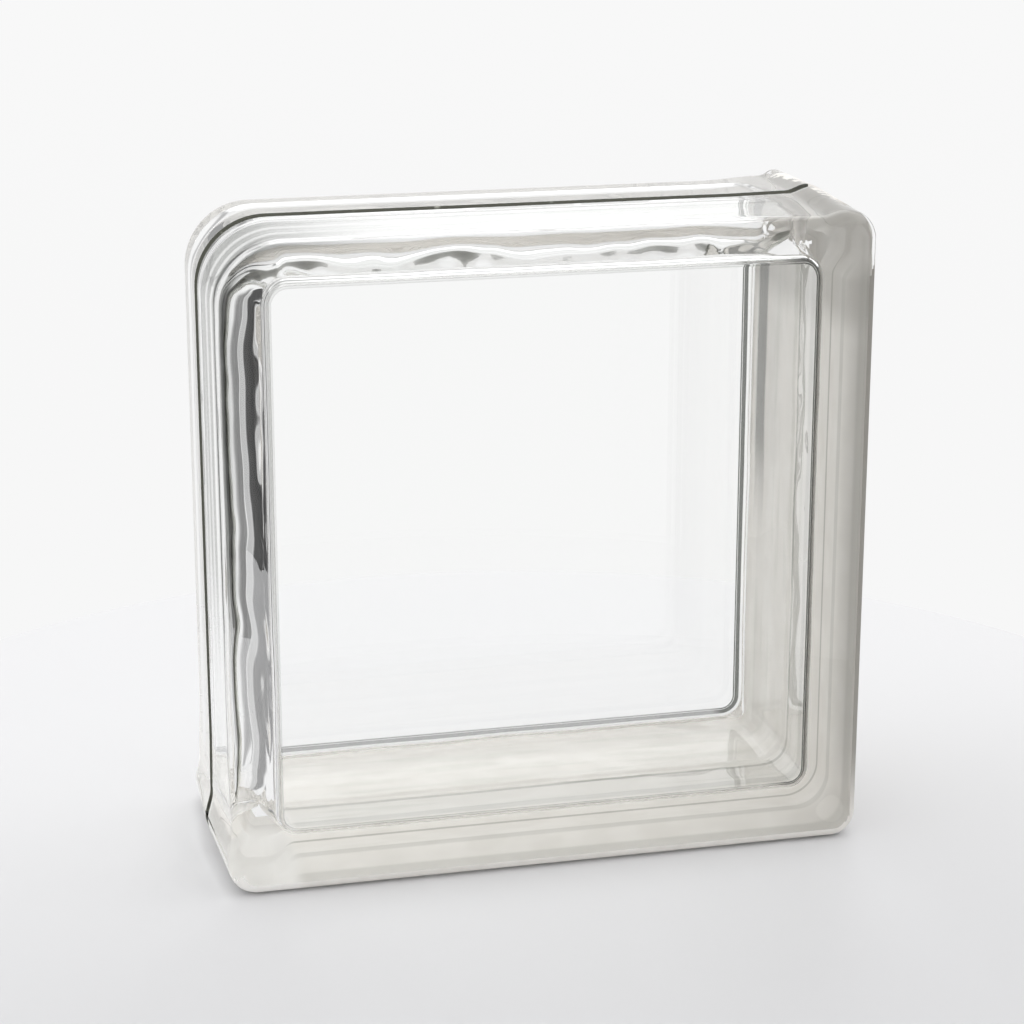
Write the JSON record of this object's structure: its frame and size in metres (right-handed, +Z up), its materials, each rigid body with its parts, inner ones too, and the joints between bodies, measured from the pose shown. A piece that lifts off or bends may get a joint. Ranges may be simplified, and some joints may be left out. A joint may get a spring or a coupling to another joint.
{
  "type": "glass block",
  "caption": "Square hollow pressed-glass building block with clear panes round a sealed cavity, smooth finished end sides, and coated mortar sides with a shallow bedding channel.",
  "frame": {"origin": "middle of the bottom side, at the level of the bottom rims that the block stands on", "axes": "+X to the right mortar side as seen from the front, +Y from the front face to the back face, +Z up to the finished top side"},
  "size_m": [0.19, 0.08, 0.19],
  "materials": {
    "clear_glass": "polished"
  },
  "bodies": {
    "root": {"glass_block": "clear_glass"}
  },
  "joints": []
}
